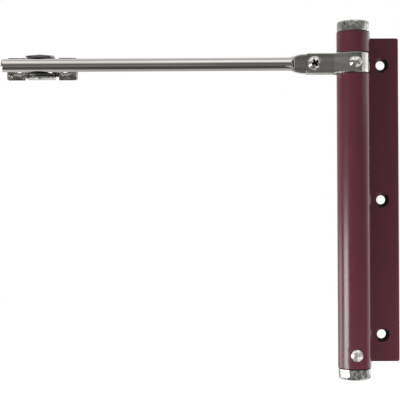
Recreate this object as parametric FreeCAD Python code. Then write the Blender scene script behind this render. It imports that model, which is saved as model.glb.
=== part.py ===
import FreeCAD, Part
import math
import os

# Spring door closer: a tube with a flange is screwed to the frame, a coil spring in the tube turns
# a clamp strap, and the strap holds a round arm that slides through a roller guide on the door.
# Millimetres. +X right, +Y into the wall, +Z up. The origin is the middle screw hole of the flange,
# on the mounting plane.

V = FreeCAD.Vector

# Housing: extruded tube and flange
tube_r = 10.0
tube_wall = 2.0
tube_len = 202.5
hole_from_tube = 8.0
flange_edge_x = 11.0
flange_t = 3.0
flange_inset = 2.25
flange_corner_r = 1.5
flange_edge_r = 1.3
flange_root_r = 0.8
screw_inset = 16.5
screw_hole_r = 2.75
sink_r = 4.5
sink_depth = 1.6
arm_drop = 18.75
notch_gap = 0.3
notch_side = 0.4

# Clearances
press = 0.02
run = 0.05
play = 0.1

# End caps
cap_step = 0.3
cap_h = 6.5
cap_edge = 0.8
cap_neck = 4.0
cap_gap = 0.2
hex_af = 6.0
hex_depth = 2.8

# Spindle, hub and bearings
bush_wall = 3.0
bush_len = 8.0
ring_inset = 0.2
washer_t = 0.9
collar_step = 0.5
collar_h = 6.0
core_depth = 4.0
core_r = 2.5

# Spring
wire = 2.0
coil_gap = 0.9
turns = 9
leg_len = 3.2

# Tension adjuster and its lock screw
tail_bush_len = 17.2
tail_wall = 2.6
tail_reach = 2.5
lock_rise = 8.25
lock_head_r = 3.55
lock_head_h = 2.3
lock_dome_h = 1.8
lock_shank_r = 2.0
lock_tip_r = 1.5
lock_window_gap = 0.6
groove_depth = 1.5

# Strap that carries the arm
strap_t = 1.8
strap_h = 12.4
strap_reach = 29.0
strap_leave_deg = 56.0
strap_bend_r = 2.0
strap_corner_r = 1.6
pin_r = 2.0
pin_head_r = 3.75
pin_head_h = 0.6
pin_dome_h = 1.7
clamp_inset = 5.4

# Clamp screw, washer and nut
clamp_r = 2.0
clamp_head_r = 4.25
clamp_head_h = 1.1
clamp_dome_h = 1.9
cross_len = 4.6
cross_w = 1.1
cross_depth = 1.7
cross_turn_deg = 30.0
clamp_washer_r = 3.8
clamp_washer_t = 0.8
nut_af = 7.0
nut_h = 3.0
screw_end = 0.8

# Arm
arm_r = 4.0
arm_len = 213.0
arm_tip = 1.0
tongue_t = 3.9
tongue_inset = 0.3
tongue_flat = 5.4
tongue_neck = 3.6

# Roller guide
guide_inset = 22.0
roller_r = 9.0
roller_core_r = 3.7
roller_lip = 1.15
roller_edge = 0.3
groove_gap = 0.3
groove_floor = 4.8
groove_flare = 1.4
axle_r = 1.5
axle_head_r = 2.6
axle_head_h = 0.8
sheet = 1.4
sheet_fold_r = 0.6
roller_side_gap = 0.15
roller_back_gap = 0.5
tab_half = 8.5
tab_side_front = 1.0
tab_front = 4.6
bracket_half = 22.0
window_half = 6.2
window_corner_r = 1.0
relief_w = 1.9
relief_depth = 2.1
ear_hole_inset = 7.8
ear_hole_r = 2.4
ear_sink_r = 4.1
ear_sink_depth = 0.9
ear_corner_r = 1.6
ear_edge = 0.7

# Worked out from the sizes above: housing
ax = -tube_r - hole_from_tube
ay = -tube_r
bore_r = tube_r - tube_wall
tube_top = tube_len / 2
tube_end = -tube_len / 2
flange_len = tube_len - 2 * flange_inset
screw_pitch = flange_len / 2 - screw_inset
arm_z = tube_top - arm_drop
cap_r = tube_r - cap_step
notch_edge_x = ax + tube_r + notch_side
notch_half = strap_h / 2 + notch_gap

# Worked out: what turns in the tube
ring_r = tube_r - ring_inset
hub_r = ring_r - strap_t
hub_half = notch_half - washer_t - play
spindle_r = bore_r - bush_wall
collar_r = bore_r - collar_step
collar_top = arm_z - notch_half - bush_len - play
collar_low = collar_top - collar_h
coil_r = bore_r - coil_gap - wire / 2
tail_r = bore_r - tail_wall
seat_top = tube_end + tail_bush_len + play + collar_h
lock_z = tube_end + lock_rise
lock_window_r = lock_head_r + lock_window_gap

# Worked out: arm and guide
clamp_x = strap_reach - clamp_inset
tongue_half = tongue_t / 2
tongue_half_h = strap_h / 2 - tongue_inset
tongue_full = strap_reach + tongue_inset
tongue_start = strap_reach + tongue_flat
shoulder = tongue_start + tongue_neck
plate_in = tongue_half + run
plate_out = plate_in + strap_t
groove_r = arm_r + groove_gap
axle_behind = roller_core_r + groove_r
guide_ax = ax - arm_len + guide_inset
guide_ay = ay + axle_behind
roller_half = groove_r + roller_lip
tab_in = roller_half + roller_side_gap
tab_out = tab_in + sheet
sheet_bend_r = sheet + sheet_fold_r
bracket_back = axle_behind + roller_r + roller_back_gap
ear_hole_x = bracket_half - ear_hole_inset


def at_axis(x, y, z):
    """Point given from the tube's axis."""
    return V(ax + x, ay + y, z)


def rod_z(r, low, high, x=ax, y=ay):
    """Upright cylinder between two heights."""
    return Part.makeCylinder(r, high - low, V(x, y, low), V(0, 0, 1))


def rod_y(r, front, back, x, z):
    """Cylinder through the thickness, from its front to its back."""
    return Part.makeCylinder(r, back - front, V(x, front, z), V(0, 1, 0))


def block(x0, x1, y0, y1, z0, z1):
    """Box between two corners."""
    return Part.makeBox(x1 - x0, y1 - y0, z1 - z0, V(x0, y0, z0))


def outline(points, closed=True):
    """Wire through points; a point given as a pair (via, end) is an arc."""
    edges = []
    here = points[0]
    for p in points[1:]:
        if isinstance(p, tuple):
            edges.append(Part.Arc(here, p[0], p[1]).toShape())
            here = p[1]
        else:
            edges.append(Part.LineSegment(here, p).toShape())
            here = p
    if closed and here.distanceToPoint(points[0]) > 1e-6:
        edges.append(Part.LineSegment(here, points[0]).toShape())
    return Part.Wire(edges)


def edges_where(shape, test):
    """Edges whose middle passes the test."""
    return [e for e in shape.Edges if test(e.CenterOfMass, e)]


def upright(e):
    """True for an edge along Z."""
    tangent = e.tangentAt((e.FirstParameter + e.LastParameter) / 2)
    return abs(tangent.z) > 0.999


def revolve_z(points, x=ax, y=ay):
    """Solid of revolution about an upright axis, from (radius, height) points."""
    face = Part.Face(outline([V(x + r, y, z) for r, z in points]))
    return face.revolve(V(x, y, 0), V(0, 0, 1), 360)


def dome_head(r, skirt, dome, base, x, z):
    """Round head on a base plane, facing the front: a short skirt with a dome in three flanks on it."""
    top = base - skirt
    tip = top - dome
    ball_r = (r * r + dome * dome) / (2 * dome)
    rim = math.asin(r / ball_r)
    flanks = [V(x + ball_r * math.sin(rim * k / 3), tip + ball_r - ball_r * math.cos(rim * k / 3), z)
              for k in (3, 2, 1)]
    wire = outline([V(x, base, z), V(x + r, base, z), *flanks, V(x, tip, z)])
    return Part.Face(wire).revolve(V(x, 0, z), V(0, 1, 0), 360)


def housing_section():
    """Section of the extrusion: a disc with the flange drawn out of its back, rounded at the root."""
    front = tube_r - flange_t
    edge = flange_edge_x - ax
    root_y = front - flange_root_r
    root_x = math.sqrt((tube_r + flange_root_r) ** 2 - root_y ** 2)
    share = tube_r / (tube_r + flange_root_r)
    towards = V(-root_x, -root_y, 0).normalize() + V(0, 1, 0)
    middle = V(root_x, root_y, 0) + towards.normalize() * flange_root_r
    bevel = flange_edge_r * (1 - math.sqrt(0.5))
    return outline([
        at_axis(0, tube_r, 0), at_axis(edge, tube_r, 0), at_axis(edge, front + flange_edge_r, 0),
        (at_axis(edge - bevel, front + bevel, 0), at_axis(edge - flange_edge_r, front, 0)),
        at_axis(root_x, front, 0),
        (at_axis(middle.x, middle.y, 0), at_axis(root_x * share, root_y * share, 0)),
        (at_axis(-tube_r, 0, 0), at_axis(0, tube_r, 0))])


def housing():
    """Tube and flange in one extrusion, notched where the strap turns."""
    half = flange_len / 2
    body = Part.Face(housing_section()).extrude(V(0, 0, flange_len))
    body.translate(V(0, 0, -half))
    front = block(ax - 2 * tube_r, flange_edge_x, -3 * tube_r, tube_r, -half, half)
    corners = edges_where(front, lambda c, e: abs(c.x - flange_edge_x) < 1e-6
                          and e.BoundBox.YLength > tube_r)
    body = body.common(front.makeFillet(flange_corner_r, corners))
    body = body.fuse(rod_z(tube_r, tube_end, tube_top)).removeSplitter()
    body = body.cut(rod_z(bore_r, tube_end - 1, tube_top + 1))
    body = body.cut(block(ax - 2 * tube_r, notch_edge_x, ay - 2 * tube_r, 1,
                          arm_z - notch_half, arm_z + notch_half))
    for z in (-screw_pitch, 0, screw_pitch):
        body = body.cut(rod_y(screw_hole_r, -flange_t - 1, 1, 0, z))
        body = body.cut(Part.makeCone(sink_r, screw_hole_r, sink_depth, V(0, -flange_t, z), V(0, 1, 0)))
    return body.cut(rod_y(lock_window_r, ay - tube_r - 1, ay, ax, lock_z))


def top_cap():
    """Plated cap with a neck that plugs the tube's upper end."""
    base = tube_top
    head = rod_z(cap_r, base, base + cap_h)
    head = head.makeChamfer(cap_edge, edges_where(head, lambda c, e: abs(c.z - base - cap_h) < 1e-6))
    return head.fuse(rod_z(bore_r - press, base - cap_neck, base)).removeSplitter()


def bush(outer, inner, low, high):
    """Bearing sleeve pressed into the tube."""
    return rod_z(outer, low, high).cut(rod_z(inner, low - 1, high + 1))


def top_bush():
    base = arm_z + notch_half
    return bush(bore_r - press, spindle_r + run, base, tube_top - cap_neck - cap_gap)


def mid_bush():
    top = arm_z - notch_half
    return bush(bore_r - press, spindle_r + run, top - bush_len, top)


def upper_washer():
    top = arm_z + notch_half
    return bush(hub_r - 3 * play, spindle_r + 2 * play, top - washer_t, top)


def lower_washer():
    low = arm_z - notch_half
    return bush(hub_r - 3 * play, spindle_r + 2 * play, low, low + washer_t)


def pin_bore(r):
    """Drive pin's hole through strap, hub and spindle."""
    return rod_y(r, ay - 2 * tube_r, ay + 2 * tube_r, ax, arm_z)


def hub():
    ring = bush(hub_r - press, spindle_r + press, arm_z - hub_half, arm_z + hub_half)
    return ring.cut(pin_bore(pin_r + press))


def leg_slot(low, high):
    """Square hole that takes one leg of the spring."""
    half = wire / 2 + play
    x = ax + coil_r
    return block(x - half, x + half, ay - half, ay + half, low, high)


def spindle():
    """Shaft with the spring's upper seat at its lower end."""
    top = tube_top - cap_neck - 2 * cap_gap
    shaft = rod_z(spindle_r, collar_low, top)
    shaft = shaft.fuse(rod_z(collar_r, collar_low, collar_top)).removeSplitter()
    shaft = shaft.cut(rod_z(core_r + press, collar_low - 1, collar_low + core_depth))
    shaft = shaft.cut(leg_slot(collar_low - 1, collar_low + leg_len + play))
    return shaft.cut(pin_bore(pin_r + press))


def spring_core():
    """Guide rod along the middle of the coil, free to turn in the adjuster's seat."""
    return rod_z(core_r, seat_top - core_depth + play, collar_low + core_depth - play)


def torsion_spring():
    """Open coil of square wire with an upright leg at each end."""
    half = wire / 2
    low = seat_top + half + play
    high = collar_low - half - play
    height = high - low
    corners = [V(coil_r + i * half, 0, k * half) for i, k in ((-1, -1), (1, -1), (1, 1), (-1, 1))]
    helix = Part.makeHelix(height / turns, height, coil_r)
    coil = Part.Wire(helix).makePipeShell([outline(corners)], True, True)
    coil.translate(at_axis(0, 0, low))
    x = ax + coil_r
    lower = block(x - half, x + half, ay - half, ay + half, seat_top - leg_len, low + half)
    upper = block(x - half, x + half, ay - half, ay + half, high - half, collar_low + leg_len)
    return coil.fuse(lower).fuse(upper)


def adjuster():
    """Spring's lower seat with a tail that turns in the lower bush, grooved for the lock screw."""
    low = seat_top - collar_h
    body = rod_z(tail_r - run, tube_end - tail_reach, low)
    body = body.fuse(rod_z(collar_r, low, seat_top)).removeSplitter()
    body = body.cut(rod_z(core_r + run, seat_top - core_depth, seat_top + 1))
    body = body.cut(leg_slot(seat_top - leg_len - play, seat_top + 1))
    half = lock_tip_r + 2 * play
    groove = bush(tail_r + 1, tail_r - groove_depth, lock_z - half, lock_z + half)
    return body.cut(groove)


def lock_seat_y():
    """Flat on the lower bush under the lock screw's head."""
    return ay - math.sqrt((bore_r - press) ** 2 - lock_head_r ** 2)


def tail_bush():
    """Lower bearing, with the lock screw's thread through its wall."""
    sleeve = bush(bore_r - press, tail_r, tube_end, tube_end + tail_bush_len)
    sleeve = sleeve.cut(rod_y(lock_head_r + play, ay - tube_r, lock_seat_y(), ax, lock_z))
    return sleeve.cut(rod_y(lock_shank_r + run, ay - tube_r, ay, ax, lock_z))


def lock_screw():
    """Dome-headed screw whose tip stands in the adjuster's groove."""
    base = lock_seat_y() - press
    head = dome_head(lock_head_r, lock_head_h, lock_dome_h, base, ax, lock_z)
    shank = rod_y(lock_shank_r, base, ay - tail_r - play, ax, lock_z)
    tip = rod_y(lock_tip_r, base, ay - tail_r + groove_depth - 2 * play, ax, lock_z)
    return head.fuse(shank).fuse(tip).removeSplitter()


def bottom_cap():
    """Plated knob under the tube that turns the adjuster, with a hexagon socket below."""
    top = tube_end - cap_gap
    low = top - cap_h
    knob = rod_z(cap_r, low, top)
    knob = knob.makeChamfer(cap_edge, edges_where(knob, lambda c, e: abs(c.z - low) < 1e-6))
    knob = knob.cut(rod_z(tail_r - run + press, tube_end - tail_reach - play, top + 1))
    corner = hex_af / math.sqrt(3)
    turns_of = [math.radians(60 * k) for k in range(6)]
    hexagon = outline([at_axis(corner * math.cos(a), corner * math.sin(a), low) for a in turns_of])
    return knob.cut(Part.Face(hexagon).extrude(V(0, 0, hex_depth)))


def strap_outline(r, half, reach, bend_r):
    """Keyhole outline: an arc round the hub, two straight flanks and two parallel sides."""
    leave = math.radians(strap_leave_deg)
    tx = -r * math.cos(leave)
    ty = r * math.sin(leave)
    run_out = (ty - half) / math.cos(leave)
    bx = tx - run_out * math.sin(leave)
    wire = outline([
        at_axis(-reach, half, 0), at_axis(bx, half, 0), at_axis(tx, ty, 0),
        (at_axis(r, 0, 0), at_axis(tx, -ty, 0)), at_axis(bx, -half, 0), at_axis(-reach, -half, 0)])
    solid = Part.Face(wire).extrude(V(0, 0, strap_h))
    bends = edges_where(solid, lambda c, e: upright(e) and abs(c.x - ax - bx) < 1e-4)
    return solid.makeFillet(bend_r, bends)


def pin_seat_y():
    """Flat on the strap's ring under the drive pin's head."""
    return ay - math.sqrt(ring_r ** 2 - pin_head_r ** 2)


def clamp_strap():
    """Sheet strap wrapped round the hub, its two ends parallel on either side of the arm."""
    outer = strap_outline(ring_r, plate_out, strap_reach, strap_bend_r)
    inner = strap_outline(hub_r, plate_in, strap_reach + 1, strap_bend_r + strap_t)
    strap = outer.cut(inner)
    strap.translate(V(0, 0, arm_z - strap_h / 2))
    tips = edges_where(strap, lambda c, e: abs(c.x - ax + strap_reach) < 1e-4
                       and abs(abs(c.z - arm_z) - strap_h / 2) < 1e-4)
    strap = strap.makeFillet(strap_corner_r, tips)
    strap = strap.cut(pin_bore(pin_r + press))
    strap = strap.cut(rod_y(pin_head_r + press, ay - 2 * tube_r, pin_seat_y(), ax, arm_z))
    return strap.cut(rod_y(clamp_r + press, ay - tube_r, ay + tube_r, ax - clamp_x, arm_z))


def drive_pin():
    """Dome-headed pin that ties strap, hub and spindle together."""
    base = pin_seat_y() - press
    head = dome_head(pin_head_r, pin_head_h, pin_dome_h, base, ax, arm_z)
    return head.fuse(rod_y(pin_r, base, ay + ring_r - 3 * play, ax, arm_z)).removeSplitter()


def clamp_screw():
    """Pan-headed screw with a cross recess."""
    x = ax - clamp_x
    base = ay - plate_out
    head = dome_head(clamp_head_r, clamp_head_h, clamp_dome_h, base, x, arm_z)
    tip = base - clamp_head_h - clamp_dome_h
    arm = block(x - cross_len / 2, x + cross_len / 2, tip - 1, tip + cross_depth,
                arm_z - cross_w / 2, arm_z + cross_w / 2)
    for turn in (cross_turn_deg, cross_turn_deg + 90):
        slot = arm.copy()
        slot.rotate(V(x, 0, arm_z), V(0, 1, 0), turn)
        head = head.cut(slot)
    end = ay + plate_out + clamp_washer_t + nut_h + screw_end
    shank = rod_y(clamp_r, base, end, x, arm_z)
    return head.fuse(shank).removeSplitter()


def clamp_washer():
    x = ax - clamp_x
    base = ay + plate_out
    ring = rod_y(clamp_washer_r, base, base + clamp_washer_t, x, arm_z)
    return ring.cut(rod_y(clamp_r + press, base - 1, base + nut_h, x, arm_z))


def clamp_nut():
    """Hexagon nut, its corners turned down at the back."""
    x = ax - clamp_x
    base = ay + plate_out + clamp_washer_t
    corner = nut_af / math.sqrt(3)
    angles = [math.radians(60 * k) for k in range(6)]
    ring = outline([V(x + corner * math.cos(a), base, arm_z + corner * math.sin(a)) for a in angles])
    nut = Part.Face(ring).extrude(V(0, nut_h, 0))
    cone = Part.makeCone(corner + nut_h, nut_af / 2, nut_h + corner - nut_af / 2 + 0.2,
                         V(x, base - 0.2, arm_z), V(0, 1, 0))
    nut = nut.common(cone)
    return nut.cut(rod_y(clamp_r + press, base - 1, base + nut_h + 1, x, arm_z))


def arm_rod():
    """Round arm, flattened at one end into a tongue with the clamp screw's eye."""
    tip = ax - arm_len
    x0 = ax - shoulder
    x1 = ax - tongue_full
    xt = ax - tongue_start
    pivot = ax - clamp_x
    shaft = Part.makeCylinder(arm_r, x0 - tip, V(tip, ay, arm_z), V(1, 0, 0))
    shaft = shaft.makeChamfer(arm_tip, edges_where(shaft, lambda c, e: abs(c.x - tip) < 1e-6))
    side = outline([
        V(x0, 0, arm_z + arm_r), V(x1, 0, arm_z + tongue_half_h), V(pivot, 0, arm_z + tongue_half_h),
        (V(pivot + tongue_half_h, 0, arm_z), V(pivot, 0, arm_z - tongue_half_h)),
        V(x1, 0, arm_z - tongue_half_h), V(x0, 0, arm_z - arm_r)])
    side = Part.Face(side).extrude(V(0, 2 * arm_r, 0))
    side.translate(V(0, ay - arm_r, 0))
    far = pivot + tongue_half_h + 1
    plan = outline([V(x0, ay - arm_r, 0), V(xt, ay - tongue_half, 0), V(far, ay - tongue_half, 0),
                    V(far, ay + tongue_half, 0), V(xt, ay + tongue_half, 0), V(x0, ay + arm_r, 0)])
    plan = Part.Face(plan).extrude(V(0, 0, 4 * arm_r))
    plan.translate(V(0, 0, arm_z - 2 * arm_r))
    grown = arm_r + (x1 - x0) * 0.42
    bulge = outline([V(x0, ay, arm_z), V(x0, ay + arm_r, arm_z), V(x1, ay + grown, arm_z),
                     V(far, ay + grown, arm_z), V(far, ay, arm_z)])
    bulge = Part.Face(bulge).revolve(V(x0, ay, arm_z), V(1, 0, 0), 360)
    tongue = side.common(plan).common(bulge)
    rod = shaft.fuse(tongue).removeSplitter()
    return rod.cut(rod_y(clamp_r + run, ay - tube_r, ay + tube_r, pivot, arm_z))


def guide_roller():
    """Plastic roller with a flared groove for the arm and chamfered rims."""
    floor = axle_behind - groove_r
    rim = roller_r - roller_edge
    wheel = revolve_z([
        (axle_r + run, -roller_half), (rim, -roller_half), (roller_r, roller_edge - roller_half),
        (roller_r, -groove_r), (axle_behind - groove_flare, -groove_r), (floor, -groove_floor / 2),
        (floor, groove_floor / 2), (axle_behind - groove_flare, groove_r), (roller_r, groove_r),
        (roller_r, roller_half - roller_edge), (rim, roller_half), (axle_r + run, roller_half)],
        guide_ax, guide_ay)
    wheel.translate(V(0, 0, arm_z))
    return wheel


def roller_axle():
    """Rivet through both tabs, headed above and below."""
    body = rod_z(axle_r, arm_z - tab_out - press, arm_z + tab_out + press, guide_ax, guide_ay)
    for side in (-1, 1):
        base = arm_z + side * (tab_out + press)
        head = Part.makeCone(axle_head_r, axle_head_r * 0.6, axle_head_h,
                             V(guide_ax, guide_ay, base), V(0, 0, side))
        body = body.fuse(head)
    return body.removeSplitter()


def tab_channel():
    """Channel across the guide: the plate's middle with a tab folded forward above and below."""
    back = ay + bracket_back
    front = guide_ay - tab_front - 1
    outer = block(guide_ax - tab_half, guide_ax + tab_half, front, back, arm_z - tab_out, arm_z + tab_out)
    inner = block(guide_ax - tab_half - 1, guide_ax + tab_half + 1, front - 1, back - sheet,
                  arm_z - tab_in, arm_z + tab_in)
    outer = outer.makeFillet(sheet_bend_r, along_x(outer, back))
    inner = inner.makeFillet(sheet_bend_r - sheet, along_x(inner, back - sheet))
    side = guide_ay - tab_side_front
    plan = outline([
        V(guide_ax - tab_half, back, 0), V(guide_ax - tab_half, side, 0),
        (V(guide_ax, guide_ay - tab_front, 0), V(guide_ax + tab_half, side, 0)),
        V(guide_ax + tab_half, back, 0)])
    plan = Part.Face(plan).extrude(V(0, 0, 2 * tube_r))
    plan.translate(V(0, 0, arm_z - tube_r))
    return outer.cut(inner).common(plan)


def along_x(shape, y):
    """Edges along X that lie in the plane at this depth."""
    return edges_where(shape, lambda c, e: abs(e.BoundBox.XLength - shape.BoundBox.XLength) < 1e-6
                       and abs(c.y - y) < 1e-6)


def guide_bracket():
    """Sheet bracket: two drilled ears, two tabs for the axle and a window for the roller."""
    back = ay + bracket_back
    plate = block(guide_ax - bracket_half, guide_ax + bracket_half, back - sheet, back,
                  arm_z - tab_out, arm_z + tab_out)
    tips = edges_where(plate, lambda c, e: abs(abs(c.x - guide_ax) - bracket_half) < 1e-6
                       and abs(e.BoundBox.YLength - sheet) < 1e-6)
    plate = plate.makeFillet(ear_corner_r, tips)
    ends = edges_where(plate, lambda c, e: abs(c.y - back + sheet) < 1e-6
                       and abs(abs(c.x - guide_ax) - bracket_half) < 1e-3 and e.BoundBox.XLength < 1e-3)
    plate = plate.makeChamfer(ear_edge, ends)
    middle = block(guide_ax - tab_half, guide_ax + tab_half, back - sheet - 1, back + 1,
                   arm_z - tab_out - 1, arm_z + tab_out + 1)
    plate = plate.cut(middle).fuse(tab_channel()).removeSplitter()
    for side in (-1, 1):
        near = guide_ax + side * tab_half
        far = near + side * relief_w
        for z in (arm_z - tab_out, arm_z + tab_out):
            plate = plate.cut(block(min(near, far), max(near, far), back - sheet - 1, back + 1,
                                    z - relief_depth, z + relief_depth))
        x = guide_ax + side * ear_hole_x
        plate = plate.cut(rod_y(ear_hole_r, back - sheet - 1, back + 1, x, arm_z))
        plate = plate.cut(Part.makeCone(ear_sink_r, ear_hole_r, ear_sink_depth,
                                        V(x, back - sheet, arm_z), V(0, 1, 0)))
    window = block(guide_ax - window_half, guide_ax + window_half, back - sheet - 1, back + 1,
                   arm_z - tab_in, arm_z + tab_in)
    corners = edges_where(window, lambda c, e: e.BoundBox.YLength > sheet)
    plate = plate.cut(window.makeFillet(window_corner_r, corners))
    return plate.cut(rod_z(axle_r + press, arm_z - 2 * tab_out, arm_z + 2 * tab_out, guide_ax, guide_ay))


nodes = {
    "housing": housing, "top_cap": top_cap, "top_bush": top_bush, "mid_bush": mid_bush,
    "upper_washer": upper_washer, "lower_washer": lower_washer, "hub": hub, "spindle": spindle,
    "spring_core": spring_core, "torsion_spring": torsion_spring, "adjuster": adjuster,
    "tail_bush": tail_bush, "lock_screw": lock_screw, "bottom_cap": bottom_cap,
    "clamp_strap": clamp_strap, "drive_pin": drive_pin, "clamp_screw": clamp_screw,
    "clamp_washer": clamp_washer, "clamp_nut": clamp_nut, "arm_rod": arm_rod,
    "guide_bracket": guide_bracket, "guide_roller": guide_roller, "roller_axle": roller_axle,
}

os.makedirs("parts", exist_ok=True)
for name, make in nodes.items():
    shape = make()
    if len(shape.Solids) != 1 or not shape.isValid():
        raise RuntimeError(f"{name} has {len(shape.Solids)} solids, valid {shape.isValid()}")
    shape.Solids[0].exportStep(f"parts/{name}.step")
    print(name, round(shape.Volume, 2))
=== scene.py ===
"""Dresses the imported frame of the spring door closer: enamelled tube, plated strap, arm and guide."""

import math

import bmesh
import bpy
import numpy as np
from bpy.props import FloatProperty, FloatVectorProperty, PointerProperty
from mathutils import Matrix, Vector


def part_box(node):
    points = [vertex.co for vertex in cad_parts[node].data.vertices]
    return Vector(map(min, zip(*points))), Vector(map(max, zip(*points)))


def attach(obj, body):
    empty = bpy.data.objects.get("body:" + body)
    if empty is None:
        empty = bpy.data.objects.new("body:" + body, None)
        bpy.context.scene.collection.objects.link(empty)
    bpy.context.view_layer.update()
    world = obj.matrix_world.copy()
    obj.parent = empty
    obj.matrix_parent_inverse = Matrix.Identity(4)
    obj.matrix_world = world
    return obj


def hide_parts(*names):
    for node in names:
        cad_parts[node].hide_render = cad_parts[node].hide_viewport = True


bl_info = {
    "name": "Spring Door Closer",
    "version": (1, 0, 0),
    "blender": (4, 5, 0),
    "location": "3D View > Sidebar > Closer",
    "description": "Dresses the frame of a spring door closer with finished surfaces and materials",
    "category": "Object",
}

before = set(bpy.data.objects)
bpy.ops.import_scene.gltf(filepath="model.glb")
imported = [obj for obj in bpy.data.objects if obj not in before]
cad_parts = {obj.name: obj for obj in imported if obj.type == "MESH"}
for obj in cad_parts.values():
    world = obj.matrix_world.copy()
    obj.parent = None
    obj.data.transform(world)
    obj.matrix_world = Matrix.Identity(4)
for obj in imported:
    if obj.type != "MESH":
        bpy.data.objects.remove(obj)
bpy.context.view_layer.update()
MM = 0.001


def centre(node):
    """Middle of a node's box."""
    low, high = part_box(node)
    return (low + high) / 2


def span(node):
    """Size of a node's box."""
    low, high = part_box(node)
    return high - low


def linear(code):
    """An sRGB hex colour as linear red, green and blue."""
    parts = np.array([int(code[i:i + 2], 16) for i in (1, 3, 5)]) / 255
    low = parts / 12.92
    high = ((parts + 0.055) / 1.055) ** 2.4
    return tuple(float(v) for v in np.where(parts <= 0.04045, low, high))


# Places that all pieces share, read from the frame
TUBE = centre("top_cap")
STRAP = centre("clamp_strap")
ROLLER = centre("guide_roller")
SCREW = centre("clamp_screw")
HOUSING_LOW, HOUSING_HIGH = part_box("housing")
CAP_SEAM = (0.5 * MM, 0.35 * MM)  # chamfer of the caps where they meet the tube, across and along
SHARP = math.radians(34)  # an edge that turns by more than this isn't shaded smooth


def length(name, description, default):
    """A size in metres that shows in the scene's units."""
    return FloatProperty(name=name, description=description, default=default, min=0.0,
                         unit="LENGTH", subtype="DISTANCE", precision=5)


def colour(name, description, code):
    """A colour setting from its hex code."""
    return FloatVectorProperty(name=name, description=description, default=linear(code), min=0.0, max=1.0,
                               size=3, subtype="COLOR")


class CloserSizes(bpy.types.PropertyGroup):
    """Sizes of the closer's pieces."""

    tube_radius: length("Tube radius", "Outside radius of the tube", TUBE.x - HOUSING_LOW.x)
    tube_wall: length("Tube wall", "Wall of the tube", 2 * MM)
    flange_thickness: length("Flange thickness", "Thickness of the flange", 3 * MM)
    flange_inset: length("Flange inset", "How far the flange ends inside the tube's ends", 2.25 * MM)
    flange_corner: length("Flange corner", "Corner radius of the flange seen from the front", 1.5 * MM)
    flange_edge: length("Flange edge", "Round of the flange's long front edge", 1.3 * MM)
    flange_root: length("Flange root", "Fillet between the flange and the tube", 0.8 * MM)
    hole_radius: length("Hole radius", "Screw holes in the flange", 2.75 * MM)
    sink_radius: length("Countersink radius", "Rim of the countersinks", 4.5 * MM)
    sink_depth: length("Countersink depth", "Depth of the countersinks", 1.6 * MM)
    hole_pitch: length("Hole pitch", "Distance between neighbouring screw holes", 82.5 * MM)
    notch_half: length("Notch half height", "Half of the height of the strap's notch", 6.5 * MM)
    notch_wall: length("Notch wall", "Distance of the notch's upright wall from the tube's axis", 10.4 * MM)
    window_radius: length("Lock window radius", "Hole in the tube round the lock screw's head", 3.95 * MM)
    window_shift: length("Lock window shift", "How far the hole lies up and left of the screw", 0.2 * MM)
    cap_radius: length("Cap radius", "Radius of the end caps", span("top_cap").x / 2)
    cap_edge: length("Cap edge", "Round of the caps' outer edge", 1.1 * MM)
    socket_width: length("Socket width", "Width across the flats of the socket in the bottom cap", 6.0 * MM)
    socket_depth: length("Socket depth", "Depth of the socket in the bottom cap", 2.8 * MM)
    strap_thickness: length("Strap thickness", "Sheet thickness of the strap", 1.8 * MM)
    strap_ring: length("Strap ring", "Outside radius of the strap's ring", 9.8 * MM)
    strap_gap: length("Strap gap", "Half of the gap between the strap's two ends", 2.0 * MM)
    strap_bend: length("Strap bend", "Outside bend radius where the ring meets the ends", 2.0 * MM)
    strap_corner: length("Strap corner", "Corner radius of the strap's ends", 1.6 * MM)
    arm_radius: length("Arm radius", "Radius of the round arm", 4.0 * MM)
    tongue_thickness: length("Tongue thickness", "Thickness of the arm's flattened end", 3.9 * MM)
    recess_length: length("Recess length", "Length of the cross recess", 4.6 * MM)
    recess_width: length("Recess width", "Width of the cross recess", 1.15 * MM)
    recess_depth: length("Recess depth", "Depth of the cross recess", 1.7 * MM)
    roller_radius: length("Roller radius", "Radius of the guide's roller", span("guide_roller").x / 2)
    roller_crown: length("Roller crown", "How far in from the rim the roller's faces round off", 3.2 * MM)
    sheet_thickness: length("Bracket sheet", "Sheet thickness of the guide's bracket", 1.4 * MM)
    bracket_bend: length("Bracket bend", "Outside bend radius of the bracket's tabs", 2.0 * MM)
    bracket_corner: length("Bracket corner", "Corner radius of the bracket's ears", 1.6 * MM)
    bracket_end: length("Bracket end", "Chamfer of the ears' ends towards the front", 1.0 * MM)
    sink_step: length("Sunk ring step", "Width of the steep rim of the ears' sunk rings", 0.4 * MM)


class CloserColours(bpy.types.PropertyGroup):
    """Colours of the closer's finishes."""

    enamel: colour("Enamel", "Red-brown enamel", "#602c38")
    enamel_deep: colour("Enamel, deep", "Enamel where the coat is thicker", "#562631")
    chrome: colour("Chrome", "Bright chrome plate", "#d8d5d0")
    chrome_pitted: colour("Chrome, pitted", "Chrome plate with fine pits", "#5e5956")
    chrome_stain: colour("Chrome, dull", "Chrome plate under a film of polish", "#b2ada8")
    nickel: colour("Nickel", "Nickel plate", "#e6e1dc")
    zinc: colour("Zinc", "Tumbled bright zinc plate", "#faf2f0")
    zinc_worn: colour("Zinc, worn", "Zinc plate where tumbling has dulled it", "#9a9390")
    black_nylon: colour("Black nylon", "Moulded black nylon", "#121212")
    steel: colour("Steel", "Turned steel", "#a9a7a3")
    spring: colour("Spring steel", "Coiled spring steel", "#56565a")
    nylon: colour("Nylon", "Natural nylon", "#dcdad2")
    floor: colour("Floor", "Pale floor", "#f2f2f1")


def cells_of(index):
    """Corners of every cell in a grid of point numbers."""
    return np.stack([index[:-1, :-1], index[1:, :-1], index[1:, 1:], index[:-1, 1:]], axis=-1)


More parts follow.
